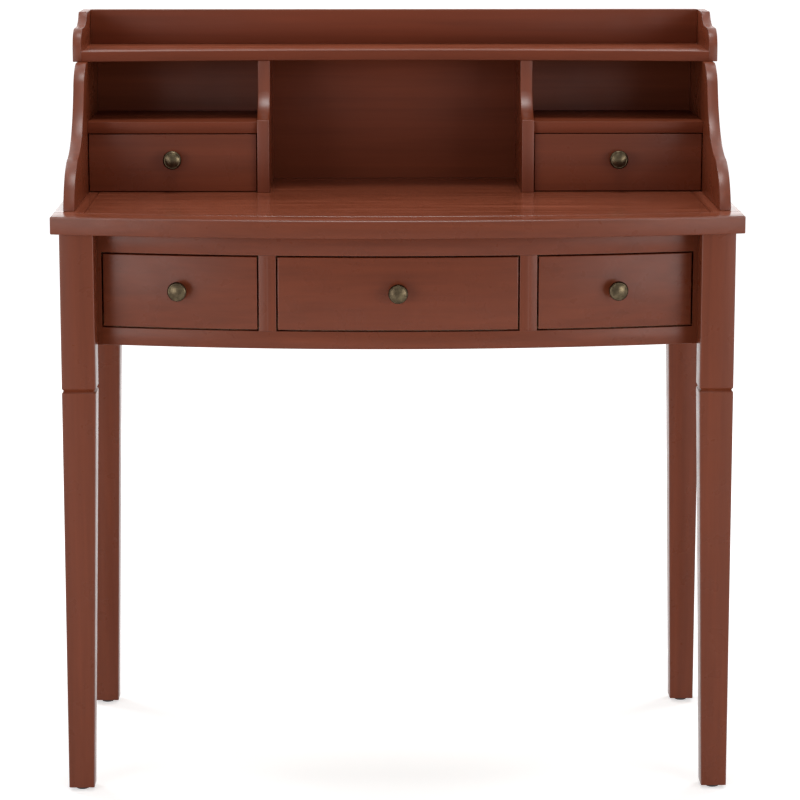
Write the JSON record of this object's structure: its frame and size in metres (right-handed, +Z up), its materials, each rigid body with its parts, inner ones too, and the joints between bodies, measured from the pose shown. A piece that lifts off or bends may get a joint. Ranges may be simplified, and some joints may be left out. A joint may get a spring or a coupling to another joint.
{
  "type": "writing desk",
  "caption": "Bow-fronted writing desk on tapered legs, with apron drawers and a hutch of pigeonholes, small drawers and a galleried top shelf.",
  "frame": {"origin": "on the floor, below the middle of the bounding box", "axes": "+Z up, the front faces -Y, +X to the right of someone facing the desk's front"},
  "size_m": [0.909, 0.531, 1.0239],
  "materials": {
    "lacquered_wood": "semi-gloss",
    "worktop_lacquered_wood": "semi-gloss",
    "inner_wood": "matt",
    "aged_brass": "antique",
    "dark_plastic": "matt",
    "zinc_steel": "plated"
  },
  "bodies": {
    "desk": {"assembly_screws": "zinc_steel", "back_apron": "lacquered_wood", "back_left_leg": "lacquered_wood", "back_right_leg": "lacquered_wood", "corner_blocks": "inner_wood", "drawer_kickers": "inner_wood", "drawer_runners": "inner_wood", "frame_bottom_rail": "lacquered_wood", "frame_top_rail": "lacquered_wood", "front_left_leg": "lacquered_wood", "front_right_leg": "lacquered_wood", "gallery_back": "lacquered_wood", "hutch_back_panel": "lacquered_wood", "hutch_top_shelf": "lacquered_wood", "left_frame_end_stile": "lacquered_wood", "left_frame_mid_stile": "lacquered_wood", "left_gallery_side": "lacquered_wood", "left_hutch_divider": "lacquered_wood", "left_hutch_side": "lacquered_wood", "left_side_apron": "lacquered_wood", "left_small_shelf": "lacquered_wood", "left_worktop_end_board": "worktop_lacquered_wood", "leg_bolts": "zinc_steel", "leg_glides": "dark_plastic", "right_frame_end_stile": "lacquered_wood", "right_frame_mid_stile": "lacquered_wood", "right_gallery_side": "lacquered_wood", "right_hutch_divider": "lacquered_wood", "right_hutch_side": "lacquered_wood", "right_side_apron": "lacquered_wood", "right_small_shelf": "lacquered_wood", "right_worktop_end_board": "worktop_lacquered_wood", "worktop_front_board": "worktop_lacquered_wood", "worktop_main_panel": "worktop_lacquered_wood"},
    "left_drawer": {"left_drawer_back": "inner_wood", "left_drawer_bottom": "inner_wood", "left_drawer_front": "lacquered_wood", "left_drawer_knob": "aged_brass", "left_drawer_sides": "inner_wood"},
    "centre_drawer": {"centre_drawer_back": "inner_wood", "centre_drawer_bottom": "inner_wood", "centre_drawer_front": "lacquered_wood", "centre_drawer_knob": "aged_brass", "centre_drawer_sides": "inner_wood"},
    "right_drawer": {"right_drawer_back": "inner_wood", "right_drawer_bottom": "inner_wood", "right_drawer_front": "lacquered_wood", "right_drawer_knob": "aged_brass", "right_drawer_sides": "inner_wood"},
    "left_small_drawer": {"left_small_drawer_back": "inner_wood", "left_small_drawer_bottom": "inner_wood", "left_small_drawer_front": "lacquered_wood", "left_small_drawer_knob": "aged_brass", "left_small_drawer_sides": "inner_wood"},
    "right_small_drawer": {"right_small_drawer_back": "inner_wood", "right_small_drawer_bottom": "inner_wood", "right_small_drawer_front": "lacquered_wood", "right_small_drawer_knob": "aged_brass", "right_small_drawer_sides": "inner_wood"}
  },
  "joints": [
    {"name": "left_drawer_slide", "type": "slide", "parent": "desk", "child": "left_drawer", "axis": [0, -1, 0], "range_m": [0, 0.28]},
    {"name": "centre_drawer_slide", "type": "slide", "parent": "desk", "child": "centre_drawer", "axis": [0, -1, 0], "range_m": [0, 0.28]},
    {"name": "right_drawer_slide", "type": "slide", "parent": "desk", "child": "right_drawer", "axis": [0, -1, 0], "range_m": [0, 0.28]},
    {"name": "left_small_drawer_slide", "type": "slide", "parent": "desk", "child": "left_small_drawer", "axis": [0, -1, 0], "range_m": [0, 0.12]},
    {"name": "right_small_drawer_slide", "type": "slide", "parent": "desk", "child": "right_small_drawer", "axis": [0, -1, 0], "range_m": [0, 0.12]}
  ]
}
